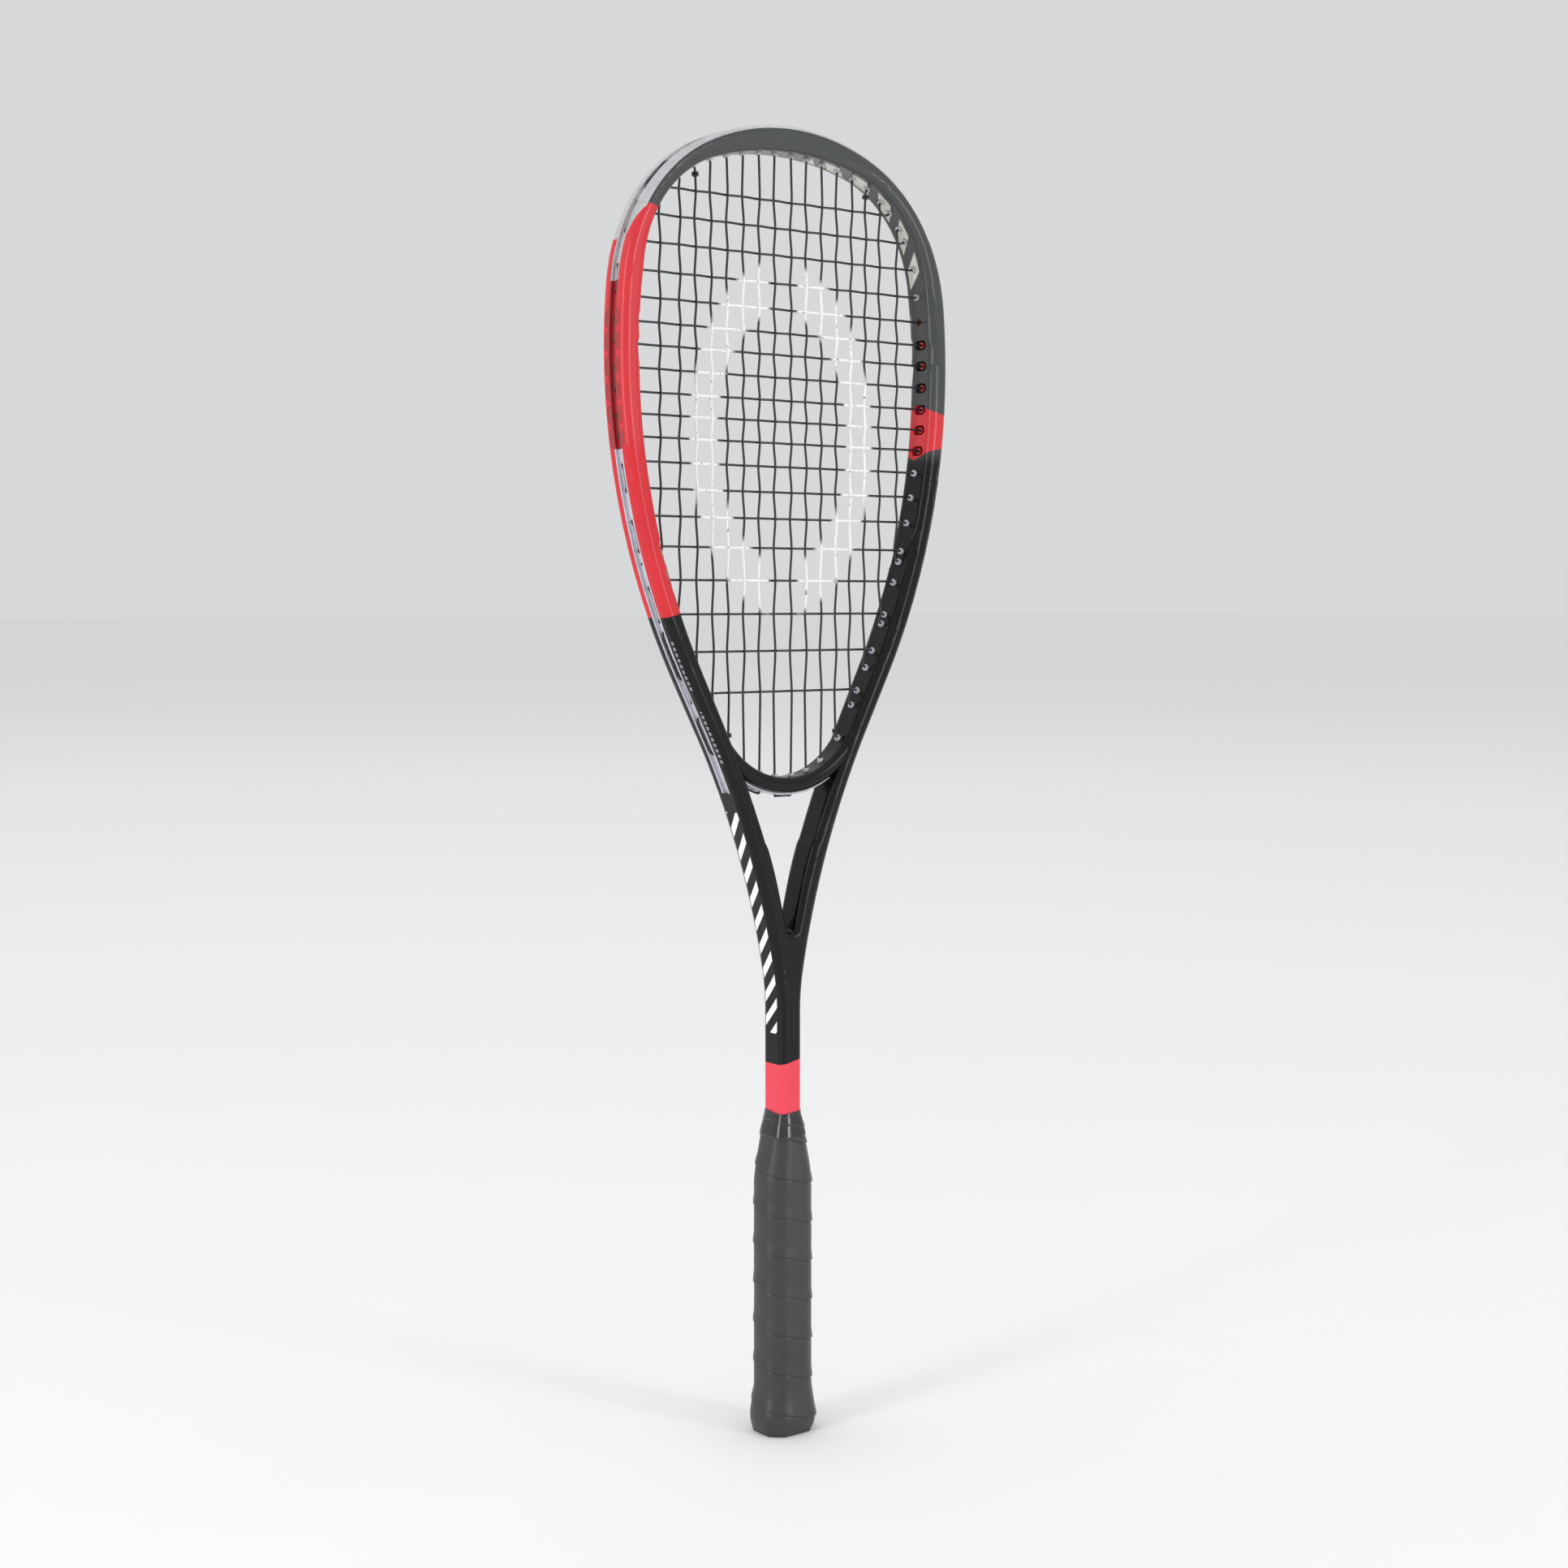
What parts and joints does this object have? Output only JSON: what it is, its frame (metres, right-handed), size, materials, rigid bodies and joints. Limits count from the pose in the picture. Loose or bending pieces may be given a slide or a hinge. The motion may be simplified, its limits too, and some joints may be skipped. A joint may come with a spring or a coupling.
{
  "type": "squash racket",
  "caption": "Squash racket with a teardrop hoop, open throat with a curved bridge, woven string bed in grommet strips, bumper guard and wrapped grip with a flared butt.",
  "frame": {"origin": "centre of the butt cap's bottom face", "axes": "+Z along the racket from the butt to the crown of the head, +X across the head, -Y the front hitting face and +Y the back"},
  "size_m": [0.2146, 0.0306, 0.686],
  "materials": {
    "frame_finish": "satin charcoal lacquer with red and pale painted patches over a carbon lay-up",
    "bridge_finish": "satin charcoal lacquer",
    "bumper_clear": "translucent smoke-grey moulded nylon, lightly scuffed",
    "strip_red": "dark red moulded nylon, satin",
    "strip_clear": "translucent pale grey moulded nylon",
    "string_black": "black multifilament with a smooth coating",
    "knot_black": "black multifilament with a smooth coating",
    "pallet_foam": "moulded rigid foam",
    "cap_plastic": "moulded, fine grain",
    "staple_wire": "zinc-plated",
    "grip_skin": "matte tacky polyurethane grip with fine grain",
    "tape_skin": "glossy stretched vinyl tape"
  },
  "bodies": {
    "root": {"frame": "frame_finish", "throat_bridge": "bridge_finish", "bumper_guard": "bumper_clear", "wide_grommet_strip_left": "strip_red", "wide_grommet_strip_right": "strip_red", "lower_grommet_strip_left": "strip_clear", "lower_grommet_strip_right": "strip_clear", "throat_grommet_strip": "strip_clear", "main_string": "string_black", "cross_string": "string_black", "tie_off_knots": "knot_black", "handle_pallet": "pallet_foam", "butt_cap": "cap_plastic", "butt_cap_staples": "staple_wire", "grip_wrap": "grip_skin", "grip_finishing_tape": "tape_skin"}
  },
  "joints": []
}
